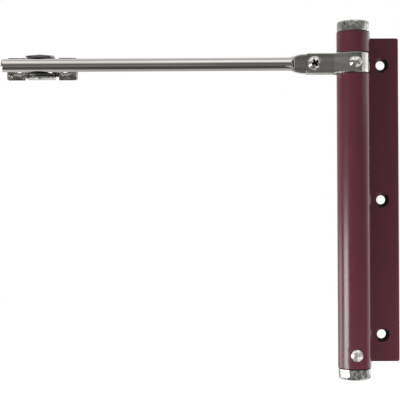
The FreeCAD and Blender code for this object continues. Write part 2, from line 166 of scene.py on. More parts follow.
class Skin:
    """Patches of quads that are welded along their shared edges into one closed surface."""

    def __init__(self):
        self.points = []
        self.faces = []
        self.painted_shade = []
        self.count = 0

    def patch(self, grid, around=False, keep=None, painted_shade=0.0):
        """Adds a grid of points, rows by columns. around joins the last column to the first. The last
        argument, one number or one for each point, is painted shade: how far corners, recesses and seams are
        painted dark there."""
        rows, columns = grid.shape[:2]
        index = self.count + np.arange(rows * columns).reshape(rows, columns)
        if around:
            index = np.column_stack([index, index[:, :1]])
        cells = cells_of(index)
        if keep is not None:
            cells = cells[keep]
        self.points.append(grid.reshape(-1, 3))
        self.faces.append(cells.reshape(-1, 4))
        self.painted_shade.append((np.zeros((rows, columns)) + painted_shade).ravel())
        self.count += rows * columns
        return self

    def as_sheet(self, front, back):
        """Closes a flat pattern into a sheet: the pattern placed by front and by back, with walls along
        the edges that only one cell has."""
        points, index = np.unique(np.round(np.concatenate(self.points), 8), axis=0, return_inverse=True)
        cells = index.ravel()[np.concatenate(self.faces)]
        edges = np.concatenate([np.stack([cells[:, k], cells[:, (k + 1) % 4]], axis=1) for k in range(4)])
        _, first, count = np.unique(np.sort(edges, axis=1), axis=0, return_index=True, return_counts=True)
        rim = edges[first[count == 1]]
        walls = np.column_stack([rim, rim[:, ::-1] + len(points)])
        painted_shade = np.zeros(len(points))
        np.maximum.at(painted_shade, index.ravel(), np.concatenate(self.painted_shade))
        self.painted_shade = [painted_shade, painted_shade]
        self.points = [front(points), back(points)]
        self.faces = [cells, cells[:, ::-1] + len(points), walls]
        return self

    def piece(self, name, body, material, slot, node):
        """Welds the patches, turns the faces outwards and hands the piece to its body, in place of a node."""
        mesh = bpy.data.meshes.new(name)
        mesh.from_pydata(np.concatenate(self.points).tolist(), [], np.concatenate(self.faces).tolist())
        mesh.attributes.new("painted_shade", "FLOAT", "POINT").data.foreach_set("value", np.concatenate(self.painted_shade))
        shell = bmesh.new()
        shell.from_mesh(mesh)
        bmesh.ops.remove_doubles(shell, verts=shell.verts, dist=3e-6)
        loose = [v for v in shell.verts if not v.link_faces]
        bmesh.ops.delete(shell, geom=loose, context="VERTS")
        bmesh.ops.recalc_face_normals(shell, faces=shell.faces)
        gaps = sum(1 for e in shell.edges if len(e.link_faces) != 2)
        shell.to_mesh(mesh)
        shell.free()
        if gaps:
            raise RuntimeError(f"{name} has {gaps} edges that aren't shared by two faces")
        mesh.shade_smooth()
        mesh.set_sharp_from_angle(angle=SHARP)
        made = bpy.data.objects.new(name, mesh)
        bpy.context.scene.collection.objects.link(made)
        mesh.materials.append(material)
        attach(made, body)
        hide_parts(node)
        return made


def ease_edges(made, width, angle):
    """Breaks a piece's edges that turn by more than angle degrees and keeps its flat faces flat."""
    bevel = made.modifiers.new("Edges", "BEVEL")
    bevel.width = width
    bevel.segments = 2
    bevel.limit_method = "ANGLE"
    bevel.angle_limit = math.radians(angle)
    bevel.use_clamp_overlap = False
    weight = made.modifiers.new("Flats", "WEIGHTED_NORMAL")
    weight.keep_sharp = True


def rounded(corners, radii, steps):
    """Open line through corners, each one replaced by an arc of its radius that touches both sides."""
    corners = np.asarray(corners, float)
    out = [corners[:1]]
    for before, here, after, radius in zip(corners, corners[1:], corners[2:], radii[1:]):
        if radius <= 0:
            out.append(here[None])
            continue
        u = (before - here) / np.linalg.norm(before - here)
        v = (after - here) / np.linalg.norm(after - here)
        half = math.acos(np.clip(u @ v, -1, 1)) / 2
        middle = here + (u + v) / np.linalg.norm(u + v) * radius / math.sin(half)
        start = here + u * radius / math.tan(half) - middle
        end = here + v * radius / math.tan(half) - middle
        turn = math.pi - 2 * half
        share = np.linspace(0, 1, steps + 1)[:, None]
        arc = (np.sin((1 - share) * turn) * start + np.sin(share * turn) * end) / math.sin(turn)
        out.append(middle + arc)
    out.append(corners[-1:])
    return np.concatenate(out)


def full_turn(count):
    """Angles of a full turn, without the last one, which is the first one again."""
    return np.linspace(0, 2 * np.pi, count, endpoint=False)


def on_circle(angle):
    """Cosine and sine of every angle, side by side."""
    return np.column_stack([np.cos(angle), np.sin(angle)])


def hexagon(apothem, angle):
    """Distance from a hexagon's middle to its side: the apothem over the cosine of the angle that is
    left to the middle of the nearest side."""
    return apothem / np.cos(np.mod(angle, math.pi / 3) - math.pi / 6)


def turned(profile, along, at, segments):
    """Radius and height pairs carried round an axis: a radius times cosine and sine of the angle."""
    profile = np.asarray(profile, float)
    angle = full_turn(segments)
    a = profile[:, :1] * np.cos(angle)
    b = profile[:, :1] * np.sin(angle)
    h = profile[:, 1:] + 0 * a
    if along == "Y":
        return np.stack([at[0] + a, h, at[2] + b], axis=-1)
    return np.stack([at[0] + a, at[1] + b, h], axis=-1)


def frame_of(grid, rows, columns):
    """Points round the border of a block of a grid, in order."""
    block = grid[rows[0]:rows[1] + 1, columns[0]:columns[1] + 1]
    return np.concatenate([block[:-1, 0], block[-1, :-1], block[:0:-1, -1], block[0, :0:-1]])


def levels_of(*stretches):
    """Heights that run through stretches of (start, end, steps), each height once."""
    runs = [np.linspace(start, end, steps + 1) for start, end, steps in stretches]
    return np.unique(np.round(np.concatenate(runs), 9))


def add(tree, kind, inputs=None, **settings):
    """Adds a node with its settings; an input takes a value, or the output that is linked to it."""
    made = tree.nodes.new(kind)
    for key, value in settings.items():
        setattr(made, key, value)
    for key, value in (inputs or {}).items():
        if isinstance(value, bpy.types.NodeSocket):
            tree.links.new(value, made.inputs[key])
        else:
            made.inputs[key].default_value = value
    return made


def ramp(tree, source, *stops):
    """Colour ramp with grey or coloured stops of (place, value)."""
    made = add(tree, "ShaderNodeValToRGB", {"Fac": source})
    line = made.color_ramp
    while len(line.elements) < len(stops):
        line.elements.new(0.5)
    for element, (place, value) in zip(line.elements, stops):
        element.position = place
        element.color = (value, value, value, 1) if isinstance(value, (int, float)) else (*value, 1)
    return made.outputs["Color"]


def noise(tree, place, size, detail, roughness=0.5):
    """Noise with bumps of about that size."""
    made = add(tree, "ShaderNodeTexNoise",
               {"Vector": place, "Scale": 1 / size, "Detail": detail, "Roughness": roughness})
    return made.outputs["Fac"]


def stretch(tree, value, start=0.0, end=1.0, low=0.0, high=1.0):
    """Carries the range from start to end over to the range from low to high."""
    made = add(tree, "ShaderNodeMapRange",
               {"Value": value, "From Min": start, "From Max": end, "To Min": low, "To Max": high})
    return made.outputs["Result"]


def blend(tree, share, first, second):
    """A colour between two colours, each an output or red, green and blue."""
    first, second = (c if isinstance(c, bpy.types.NodeSocket) else (*c, 1) for c in (first, second))
    made = add(tree, "ShaderNodeMix", {"Factor": share, "A": first, "B": second}, data_type="RGBA")
    return made.outputs["Result"]


def combine(tree, operation, first, second):
    """The product or the greater of two values."""
    return add(tree, "ShaderNodeMath", {0: first, 1: second}, operation=operation).outputs["Value"]


def bumped(tree, height, strength, distance, **under):
    """The surface's normal bent by a height, over another bump's normal if that is given."""
    inputs = {"Height": height, "Strength": strength, "Distance": distance, **under}
    return add(tree, "ShaderNodeBump", inputs).outputs["Normal"]


def feed(tree, shader, **sources):
    """Links outputs to the shader's inputs, whose names are written with underscores."""
    for name, source in sources.items():
        tree.links.new(source, shader.inputs[name.replace("_", " ")])


def new_material(name):
    """Empty material with a shader and its output."""
    made = bpy.data.materials.new(name)
    made.use_nodes = True
    tree = made.node_tree
    tree.nodes.clear()
    shader = add(tree, "ShaderNodeBsdfPrincipled")
    add(tree, "ShaderNodeOutputMaterial", {"Surface": shader.outputs["BSDF"]})
    return made, tree, shader


def painted_shade_attribute(tree):
    """The piece's attribute of painted shade: one where a corner, recess or seam is painted dark."""
    return add(tree, "ShaderNodeAttribute", attribute_name="painted_shade").outputs["Fac"]


def stove_enamel(colours):
    """Stove enamel sprayed on an aluminium extrusion: a glossy coat with faint orange peel, so that
    reflected edges are soft, and a slightly deeper tone where the coat is thicker."""
    made, tree, shader = new_material("stove_enamel")
    place = add(tree, "ShaderNodeTexCoord").outputs["Object"]
    tone = blend(tree, noise(tree, place, 22 * MM, 2.0), colours.enamel, colours.enamel_deep)
    # Orange peel is about 1.5 mm from crest to crest
    peel = bumped(tree, noise(tree, place, 1.5 * MM, 1.0), 0.06, 0.05 * MM)
    gloss = stretch(tree, noise(tree, place, 6 * MM, 3.0), low=0.20, high=0.26)
    # Near-black painted shade where the piece's shade attribute is set, with a rough coat there so that it
    # mirrors nothing
    shade_colour = (0.004, 0.003, 0.003)
    feed(tree, shader, Base_Color=blend(tree, painted_shade_attribute(tree), tone, shade_colour),
         Roughness=combine(tree, "MAXIMUM", gloss, painted_shade_attribute(tree)), Normal=peel)
    shader.inputs["IOR"].default_value = 1.5
    shader.inputs["Coat Weight"].default_value = 0.08
    shader.inputs["Coat Roughness"].default_value = 0.12
    return made


def plated(name, bright, dull, roughness, streak, lay, depth, wave=0.0, film_size=4.5, metal=1.0):
    """Chrome or nickel plate over worked metal: mirror-like, broken by the marks of the tool that
    worked the metal under it. streak is the marks' spacing in mm, lay how much longer they are per axis,
    wave how far the metal under the plate is uneven, which bends what it mirrors, and film_size the
    size in mm of the patches that are dull."""
    made, tree, shader = new_material(name)
    place = add(tree, "ShaderNodeTexCoord").outputs["Object"]
    drawn = add(tree, "ShaderNodeMapping", {"Vector": place, "Scale": lay}).outputs["Vector"]
    marks = noise(tree, drawn, streak * MM, 3.0, 0.55)
    film = stretch(tree, noise(tree, drawn, film_size * MM, 4.0), 0.40, 0.70)
    tone = blend(tree, film, bright, dull)
    rough = stretch(tree, marks, low=roughness * 0.6, high=roughness * 1.5)
    hollow = bumped(tree, noise(tree, place, 2.6 * MM, 1.5), wave, 0.25 * MM)
    # Near-black painted shade where the piece's shade attribute is set
    shade_colour = (0.012, 0.011, 0.010)
    feed(tree, shader, Base_Color=blend(tree, painted_shade_attribute(tree), tone, shade_colour), Roughness=rough,
         Normal=bumped(tree, marks, depth, 0.02 * MM, Normal=hollow))
    shader.inputs["Metallic"].default_value = metal
    return made


def moulded_nylon(name, tint, roughness, level=0.5):
    """Injection-moulded nylon: soft gloss with a fine sparked grain from the mould. level is the
    strength of the gloss."""
    made, tree, shader = new_material(name)
    place = add(tree, "ShaderNodeTexCoord").outputs["Object"]
    # The mould's grain is 0.25 mm across
    grain = bumped(tree, noise(tree, place, 0.25 * MM, 2.0), 0.15, 0.01 * MM)
    haze = noise(tree, place, 3 * MM, 2.0)
    feed(tree, shader, Base_Color=blend(tree, haze, tint, tuple(0.75 * v for v in tint)),
         Roughness=stretch(tree, haze, low=roughness - 0.05, high=roughness + 0.08), Normal=grain)
    shader.inputs["IOR"].default_value = 1.53
    shader.inputs["Specular IOR Level"].default_value = level
    return made


def finish_of(kind):
    """The material of that kind, made once."""
    known = bpy.data.materials.get(kind)
    if known:
        return known
    colours = bpy.context.scene.closer_colours
    chrome, dull, pitted, nickel, zinc, worn, steel, spring = (
        tuple(getattr(colours, key)) for key in ("chrome", "chrome_stain", "chrome_pitted", "nickel", "zinc",
                                                 "zinc_worn", "steel", "spring"))
    # Each row holds what plated takes, in its order
    plates = {
        # Grinding along the cap leaves upright marks 0.4 mm apart, and the blow that seated it dents
        "chrome_turned_brass": (chrome, pitted, 0.12, 0.4, (1.0, 1.0, 0.5), 0.05, 0.25, 1.0, 0.84),
        # Strip is rolled along its length, with lines 0.5 mm apart
        "chrome_pressed_strip": (chrome, dull, 0.19, 0.5, (0.15, 0.15, 1.0), 0.16, 0.15),
        # Drawing leaves lines 0.6 mm apart along the bar
        "chrome_drawn_bar": (chrome, dull, 0.11, 0.6, (0.03, 1.0, 1.0), 0.08),
        # Pressing stretches the sheet, so that its plate mirrors in patches 2.2 mm across
        "chrome_pressed_sheet": (chrome, pitted, 0.14, 0.8, (0.4, 1.0, 1.0), 0.14, 1.2, 2.2),
        # Tumbling knocks small heads against each other, with dull patches 1.5 mm across
        "zinc_tumbled_screw": (zinc, worn, 0.24, 0.6, (1.0, 1.0, 1.0), 0.2, 1.8, 1.5, 0.60),
        # Cold heading leaves the head smooth, with faint dull patches 1.4 mm across
        "nickel_headed_wire": (nickel, dull, 0.16, 0.6, (1.0, 1.0, 1.0), 0.12, 0.5, 1.4, 0.92),
        # Turning leaves rings 0.3 mm apart
        "turned_steel": (steel, tuple(0.7 * v for v in steel), 0.30, 0.3, (0.1, 0.1, 1.0), 0.3),
        # Coiling drags lines 0.5 mm apart along the wire
        "coiled_spring_steel": (spring, tuple(0.6 * v for v in spring), 0.35, 0.5, (1.0, 1.0, 0.3), 0.3),
    }
    if kind in plates:
        return plated(kind, *plates[kind])
    if kind == "stove_enamel":
        return stove_enamel(colours)
    if kind == "black_moulded_nylon":
        return moulded_nylon(kind, tuple(colours.black_nylon), 0.36, 0.2)
    if kind == "natural_moulded_nylon":
        return moulded_nylon(kind, tuple(colours.nylon), 0.45)
    raise ValueError(f"there is no finish named {kind}")


def housing_skin(s):
    """The extrusion's section, a circle with a flat flange drawn out of its back, carried along Z.
    Blocks of its grid round a hole are replaced by rings from the block's border to the hole's edge."""
    skin = Skin()
    r, bore = s.tube_radius, s.tube_radius - s.tube_wall
    front = r - s.flange_thickness
    edge = HOUSING_HIGH.x - TUBE.x
    root_y = front - s.flange_root
    root = np.array([math.sqrt((r + s.flange_root) ** 2 - root_y ** 2), root_y])
    meet = math.atan2(root[1], root[0])
    hole = -TUBE.x
    reach = 5.5 * MM  # half a side of the block of grid round a screw hole
    lock_reach, lock_side = 4.4 * MM, 5.2 * MM  # the same round the lock screw, along and across the tube
    dark_rim = 0.45 * MM
    arc = np.linspace(math.pi / 2, 2 * math.pi + meet, 117)
    inside = np.concatenate([[math.pi / 2], np.linspace(math.pi / 2 - 0.25, meet, 18)])
    turn = np.linspace(math.pi + meet, math.pi / 2, 7)
    fillet = root + s.flange_root * on_circle(turn)
    flat_x = np.concatenate([
        np.linspace(root[0], s.notch_wall, 3)[1:], np.linspace(hole - reach, hole + reach, 13),
        [edge - s.flange_corner, edge - s.flange_edge]])
    flat = np.column_stack([flat_x, 0 * flat_x + front])
    quarter = np.linspace(-math.pi / 2, 0, 9)[1:]
    nose = np.array([edge - s.flange_edge, front + s.flange_edge])
    nose = nose + s.flange_edge * on_circle(quarter)
    tube = r * on_circle(arc)
    inner = r * on_circle(inside)
    face = np.concatenate([inner[:-1], fillet, flat, nose])
    back = np.column_stack([face[:, 0], 0 * face[:, 0] + r])
    ring = np.concatenate([tube[:-1], fillet, flat, nose, back[:0:-1]])

    half = HOUSING_HIGH.z - s.flange_inset
    over = np.clip(face[:, 0] - edge + s.flange_corner, 0, s.flange_corner)
    face_end = half - s.flange_corner + np.sqrt(s.flange_corner ** 2 - over ** 2)
    over = np.clip(ring[:, 0] - edge + s.flange_corner, 0, s.flange_corner)
    ring_end = half - s.flange_corner + np.sqrt(s.flange_corner ** 2 - over ** 2)
    lock_z = centre("lock_screw").z
    arm_z = STRAP.z
    low_hole = -s.hole_pitch
    inner_levels = levels_of(
        (lock_z - lock_reach, lock_z + lock_reach, 12), (low_hole - reach, low_hole + reach, 12),
        (-reach, reach, 12), (arm_z - s.notch_half, arm_z + s.notch_half, 12))
    heights = np.concatenate([[-half], inner_levels, [half]])
    z = np.repeat(heights[None], len(ring), axis=0)
    z[:, 0] = -ring_end
    z[:, -1] = ring_end
    wall = np.dstack([ring[:, :1] + TUBE.x + 0 * z, ring[:, 1:] + TUBE.y + 0 * z, z])

    def row_at(x, y):
        """Row of the wall's grid whose point of the outline is nearest to a point."""
        return int(np.argmin(np.hypot(ring[:, 0] - x, ring[:, 1] - y)))

    def level_at(value):
        """Column of the wall's grid whose level is nearest to a height."""
        return int(np.argmin(np.abs(heights - value)))

    keep = np.ones((len(ring), z.shape[1] - 1), bool)
    notch = slice(level_at(arm_z - s.notch_half), level_at(arm_z + s.notch_half))
    notch_front, notch_back = row_at(s.notch_wall, front), row_at(s.notch_wall, r)
    keep[:notch_front, notch] = False
    keep[notch_back:, notch] = False
    rings = []
    for middle, tall in ((low_hole, reach), (0.0, reach), (arm_z, s.notch_half)):
        for y in (front, r):
            a, b = sorted((row_at(hole - reach, y), row_at(hole + reach, y)))
            c, d = level_at(middle - tall), level_at(middle + tall)
            keep[a:b, c:d] = False
            rings.append((frame_of(wall, (a, b), (c, d)), middle, y))
    side = math.asin(lock_side / r)
    a, b = (int(np.argmin(np.abs(arc - 1.5 * math.pi + sign * side))) for sign in (1, -1))
    c, d = level_at(lock_z - lock_reach), level_at(lock_z + lock_reach)
    keep[a:b, c:d] = False
    lock_border = frame_of(wall, (a, b), (c, d))
    closed = np.concatenate([wall, wall[:1]])
    skin.patch(closed, keep=keep)

    def at(points, height):
        """Section points at a height in the frame."""
        return np.column_stack([points[:, 0] + TUBE.x, points[:, 1] + TUBE.y, np.zeros(len(points)) + height])

    for sign in (-1, 1):
        skin.patch(np.stack([at(face, sign * face_end), at(back, sign * face_end)]))
    whole = np.concatenate([tube[:-1], inner[:0:-1]])
    bore_ring = whole * bore / r
    top = HOUSING_HIGH.z
    # The tube's last dark_rim and its end faces are painted dark: painted shade in the seam with a cap
    for sign in (-1, 1):
        ends = [at(whole, sign * height) for height in (half, top - dark_rim, top)]
        ends.append(at(bore_ring, sign * top))
        skin.patch(np.stack(ends), around=True, painted_shade=np.array([[0], [0], [1], [1]]))
    part = face[:, 0] <= s.notch_wall + 1e-7
    for height in (arm_z - s.notch_half, arm_z + s.notch_half):
        skin.patch(np.stack([at(whole, height), at(bore_ring, height)]), around=True)
        skin.patch(np.stack([at(face[part], height), at(back[part], height)]))
    skin.patch(wall[[notch_front, notch_back], notch.start:notch.stop + 1])

    # The bore below the notch, with the lock screw's hole in it
    lower = np.concatenate([[-top], heights[c:d + 1], [arm_z - s.notch_half]])
    z = lower + 0 * bore_ring[:, :1]
    tunnel = np.dstack([bore_ring[:, :1] + TUBE.x + 0 * z, bore_ring[:, 1:] + TUBE.y + 0 * z, z])
    inner_keep = np.ones((len(bore_ring), len(lower) - 1), bool)
    inner_keep[a:b, 1:len(lower) - 2] = False
    inner_border = frame_of(tunnel, (a, b), (1, len(lower) - 2))
    skin.patch(np.concatenate([tunnel, tunnel[:1]]), keep=inner_keep)
    skin.patch(np.stack([at(bore_ring, arm_z + s.notch_half), at(bore_ring, top)]), around=True)

    for border, middle, y in rings:
        angle = np.arctan2(border[:, 2] - middle, border[:, 0])
        wide = s.sink_radius if y == front else s.hole_radius
        rim = np.column_stack([wide * np.cos(angle), border[:, 1], middle + wide * np.sin(angle)])
        if y == front:
            # Painted shade darkens the right of a countersink and reaches further down in the lower holes;
            # the bore under it is painted dark all through
            low_side = 0.75 * np.cos(angle) - (0.6 - 3 * middle) * np.sin(angle)
            crescent_shade = np.clip(0.5 + 2.0 * low_side, 0, 1)
            near = rim + 0.02 * (border - rim)
            skin.patch(np.stack([border, near, rim]), around=True, painted_shade=np.stack([0 * crescent_shade, 0 * crescent_shade, crescent_shade]))
            deep = np.column_stack([s.hole_radius * np.cos(angle), border[:, 1] + s.sink_depth,
                                    middle + s.hole_radius * np.sin(angle)])
            through = deep.copy()
            through[:, 1] = TUBE.y + r
            skin.patch(np.stack([rim, deep, through]), around=True, painted_shade=np.stack([crescent_shade, crescent_shade, 0 * crescent_shade + 1]))
        else:
            skin.patch(np.stack([border, rim]), around=True)

    loops = []
    for border, radius in ((lock_border, r), (inner_border, bore)):
        angle = np.arctan2(lock_border[:, 2] - lock_z, lock_border[:, 0] - TUBE.x)
        u = s.window_radius * np.cos(angle) - s.window_shift
        loops.append(np.column_stack([TUBE.x + u, TUBE.y - np.sqrt(radius ** 2 - u ** 2),
                                      lock_z + s.window_radius * np.sin(angle) + s.window_shift]))
        skin.patch(np.stack([border, loops[-1]]), around=True)
    skin.patch(np.stack(loops), around=True)
    return skin


def top_cap_skin(s):
    """A plug and a head, turned round the tube's axis: a chamfer at the seam, a round on the outer edge."""
    low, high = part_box("top_cap")
    base = HOUSING_HIGH.z
    r, neck = s.cap_radius, s.tube_radius - s.tube_wall - 0.02 * MM
    wide, tall = CAP_SEAM
    profile = rounded([(0, low.z), (neck, low.z), (neck, base), (r - wide, base), (r, base + tall),
                       (r, high.z), (0, high.z)], [0, 0, 0, 0, 0, s.cap_edge], 8)
    inner = np.linspace(0.8, 0, 6)[1:-1, None] * [r - s.cap_edge, 0] + [0, high.z]
    profile = np.concatenate([profile[:-1], inner, profile[-1:]])
    return Skin().patch(turned(profile, "Z", TUBE, 144), around=True)


def bottom_cap_skin(s):
    """A turned knob whose lower face runs from its round edge into a six-sided socket."""
    low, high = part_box("bottom_cap")
    r = s.cap_radius
    bore, bore_depth, socket_land = 5.37 * MM, 2.4 * MM, 4.4 * MM
    floor = high.z - bore_depth
    wide, tall = CAP_SEAM
    profile = rounded([(0, floor), (bore, floor), (bore, high.z), (r - wide, high.z), (r, high.z - tall),
                       (r, low.z), (socket_land, low.z)], [0, 0, 0, 0, 0, s.cap_edge], 8)
    outer = turned(profile, "Z", TUBE, 144)
    angle = full_turn(144)
    flat = hexagon(s.socket_width / 2, angle)
    rows = []
    # A broken edge, the socket's wall and the drill's cone at its end
    for share, deep in ((1.04, 0), (1.0, 0.15 * MM), (1.0, s.socket_depth), (0.0, s.socket_depth + 0.4 * MM)):
        height = low.z + deep
        out = share * flat
        rows.append(np.column_stack([TUBE.x + out * np.cos(angle), TUBE.y + out * np.sin(angle),
                                     0 * angle + height]))
    whole = np.concatenate([outer, np.stack(rows)])
    # Painted shade on the face that meets the tube and inside the socket
    painted_shade = np.zeros((len(whole), 1))
    painted_shade[2:4, 0] = 1, 0.4
    painted_shade[-3:] = 0.6
    return Skin().patch(whole, around=True, painted_shade=painted_shade)


def strap_skin(s):
    """A strip with chamfered edges carried along a keyhole line: straight end, bend, ring, bend, end."""
    half_t = s.strap_thickness / 2
    ring = s.strap_ring - half_t
    gap = s.strap_gap + half_t
    low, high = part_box("clamp_strap")
    reach = TUBE.x - low.x
    leave = math.radians(56)
    # Where the strip leaves the ring, and where it would meet its straight end without the bend
    leave_x, leave_y = -ring * math.cos(leave), ring * math.sin(leave)
    bend_x = leave_x - (leave_y - gap) * math.tan(leave)
    ends = s.strap_corner * (1 - np.cos(np.linspace(0, math.pi / 2, 9)))[:, None]
    first = np.array([-reach, -gap]) + ends * [1, 0]
    bend = rounded([first[-1], (bend_x, -gap), (leave_x, -leave_y)], [0, s.strap_bend + half_t], 10)[1:]
    turn = np.linspace(math.pi + leave, 3 * math.pi - leave, 91)
    loop = ring * on_circle(turn)
    before = np.concatenate([first, bend[:-1]])
    line = np.concatenate([before, loop, before[::-1] * [1, -1]])
    step = np.gradient(line, axis=0)
    step[0], step[-1] = (1, 0), (-1, 0)
    across = np.column_stack([step[:, 1], -step[:, 0]]) / np.linalg.norm(step, axis=1)[:, None]
    tall = (high.z - low.z) / 2
    deep, wide = 0.6 * MM, 0.42 * MM
    side = np.array([(half_t - deep, tall), (half_t, tall - wide),
                     (half_t, wide - tall), (half_t - deep, -tall)])
    section = np.concatenate([side, side[::-1] * [-1, 1]])
    inset = np.clip(s.strap_corner - (line[:, 0] + reach), 0, s.strap_corner)
    inset = s.strap_corner - np.sqrt(s.strap_corner ** 2 - inset ** 2)
    x = TUBE.x + line[:, :1] + across[:, :1] * section[:, 0]
    y = TUBE.y + line[:, 1:] + across[:, 1:] * section[:, 0]
    z = STRAP.z + section[:, 1] - np.sign(section[:, 1]) * inset[:, None]
    grid = np.dstack([x, y, z])
    skin = Skin().patch(grid, around=True)
    count = len(side)
    for end in (grid[0], grid[-1]):
        skin.patch(np.stack([end[:count], end[:count - 1:-1]]))
    return skin


def arm_skin(s):
    """Sections along X that change from a circle to a flat tongue: the sum of the powers of the
    section's two coordinates stays one, and the power grows from two as the bar is pressed flat."""
    low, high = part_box("arm_rod")
    r = s.arm_radius
    pivot = SCREW.x
    thin, tall = s.tongue_thickness / 2, (high.z - low.z) / 2
    # Where the bar starts to be pressed, where it is flat and where its tongue has its full height
    shoulder, pressed, full = pivot - 14.4 * MM, pivot - 10.8 * MM, pivot - 5.7 * MM
    tip = rounded([(0, 0), (0, r - 0.9 * MM), (0.9 * MM, r), (4 * MM, r)], [0, 0.35 * MM, 0.5 * MM], 5)
    x = np.concatenate([low.x + tip[:, 0], np.linspace(low.x + 6 * MM, shoulder, 40),
                        np.linspace(shoulder, full, 28)[1:], np.linspace(full, pivot, 6)[1:],
                        pivot + tall * np.sin(np.linspace(0, math.radians(82), 14))[1:]])
    spread = np.clip((x - shoulder) / (full - shoulder), 0, 1)
    press = np.clip((x - shoulder) / (pressed - shoulder), 0, 1)
    round_end = np.sqrt(np.clip(tall ** 2 - np.clip(x - pivot, 0, None) ** 2, 0, None)) / tall
    z_half = (r + (tall - r) * spread ** 1.15 * (2 - spread ** 1.15)) * round_end
    y_half = r + (thin - r) * press ** 1.3 * (3 - 2 * press ** 1.3) * press ** 0.2
    z_half[:len(tip)] = tip[:, 1]
    y_half[:len(tip)] = tip[:, 1]
    power = 2 + 10 * press ** 2
    angle = full_turn(96)
    c, d = np.cos(angle), np.sin(angle)
    y = y_half[:, None] * np.sign(c) * np.abs(c) ** (2 / power[:, None])
    z = z_half[:, None] * np.sign(d) * np.abs(d) ** (2 / power[:, None])
    grid = np.dstack([x[:, None] + 0 * angle, TUBE.y + y, STRAP.z + z])
    pole = np.array([high.x, TUBE.y, STRAP.z]) + 0 * grid[-1:]
    return Skin().patch(np.concatenate([grid, pole]), around=True)


def dome(radius, skirt, rise, base):
    """Profile of a round head that faces the front: a short skirt and an arc of a ball."""
    ball = (radius ** 2 + rise ** 2) / (2 * rise)
    angle = np.linspace(math.asin(min(1, radius / ball)), 0, 14)
    arc = np.column_stack([ball * np.sin(angle), base - skirt - rise + ball - ball * np.cos(angle)])
    return np.concatenate([[(radius - 0.12 * MM, base), (radius, base - 0.12 * MM)], arc])


def pin_skin(node, radius, shank, skirt, rise):
    """A domed head and its shank, turned about an axis through the thickness."""
    low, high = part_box(node)
    base = low.y + skirt + rise
    end = 0.3 * MM
    stem = [(0, high.y), (shank - end, high.y), (shank, high.y - end), (shank, base)]
    profile = np.concatenate([stem, dome(radius, skirt, rise, base)])
    return Skin().patch(turned(profile, "Y", centre(node), 96), around=True)


def clamp_screw_skin(s):
    """A pan head whose height over the plane is a ball's arc less a cross: two crossed slots with
    sloping walls, each the product of a smooth step along it and one across it."""
    low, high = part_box("clamp_screw")
    radius, skirt, rise = 4.25 * MM, 0.6 * MM, 2.4 * MM
    base = low.y + skirt + rise
    shank = 2.0 * MM
    segments = 192
    angle = full_turn(segments)
    ball = (radius ** 2 + rise ** 2) / (2 * rise)
    out = np.linspace(1, 0, 73)[:, None] * radius
    height = np.sqrt(ball ** 2 - out ** 2) - (ball - rise) + 0 * angle
    a, b = out * np.cos(angle), out * np.sin(angle)
    turn = math.radians(30)
    u, v = a * math.cos(turn) + b * math.sin(turn), b * math.cos(turn) - a * math.sin(turn)

    def inside(distance, half):
        """One inside the half width and zero outside it, with a wall 0.3 mm wide."""
        share = np.clip((half - np.abs(distance)) / (0.3 * MM) + 0.5, 0, 1)
        return share * share * (3 - 2 * share)

    wide, long = s.recess_width / 2, s.recess_length / 2
    cut = np.maximum(inside(v, wide) * inside(u, long), inside(u, wide) * inside(v, long))
    middle = inside(np.hypot(u, v), wide * 1.9)
    depth = s.recess_depth * (1 - 0.45 * np.clip(out / long, 0, 1) ** 2)
    cut = np.maximum(cut, middle)
    y = base - skirt - height + depth * cut
    head = np.dstack([SCREW.x + a, y, STRAP.z + b])
    end, brim = 0.35 * MM, 0.15 * MM
    stem = [(0, high.y), (shank - end, high.y), (shank, high.y - end), (shank, base),
            (radius - brim, base), (radius, base - brim)]
    foot = turned(stem, "Y", (SCREW.x, 0, STRAP.z), segments)
    # The cross recess is painted dark: painted shade
    painted_shade = np.concatenate([np.zeros(foot.shape[:2]), cut])
    return Skin().patch(np.concatenate([foot, head]), around=True, painted_shade=painted_shade)


def washer_skin(node, inner):
    """A flat ring with broken edges, turned about an axis through the thickness."""
    low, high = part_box(node)
    outer = (high.x - low.x) / 2
    broken = 0.12 * MM
    profile = [(inner, low.y), (outer - broken, low.y), (outer, low.y + broken), (outer, high.y - broken),
               (outer - broken, high.y), (inner, high.y), (inner, low.y)]
    return Skin().patch(turned(profile, "Y", centre(node), 72), around=True)


def nut_skin(inner):
    """A hexagon whose back corners are turned down by a cone: the lesser of the hexagon and the cone."""
    low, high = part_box("clamp_nut")
    apothem = (high.z - low.z) / 2
    middle = centre("clamp_nut")
    angle = full_turn(144)
    wide = hexagon(apothem, angle)
    y = np.concatenate([[low.y], np.linspace(high.y - 0.7 * MM, high.y, 8)])[:, None] + 0 * angle
    cone = apothem - 0.05 * MM + (high.y - y) * 1.6
    r = np.minimum(wide, cone)
    hole = inner + 0 * y[:1]
    r = np.concatenate([hole, r, hole, hole])
    y = np.concatenate([y[:1], y, y[-1:], y[:1]])
    grid = np.dstack([middle.x + r * np.cos(angle), y, middle.z + r * np.sin(angle)])
    return Skin().patch(grid, around=True)


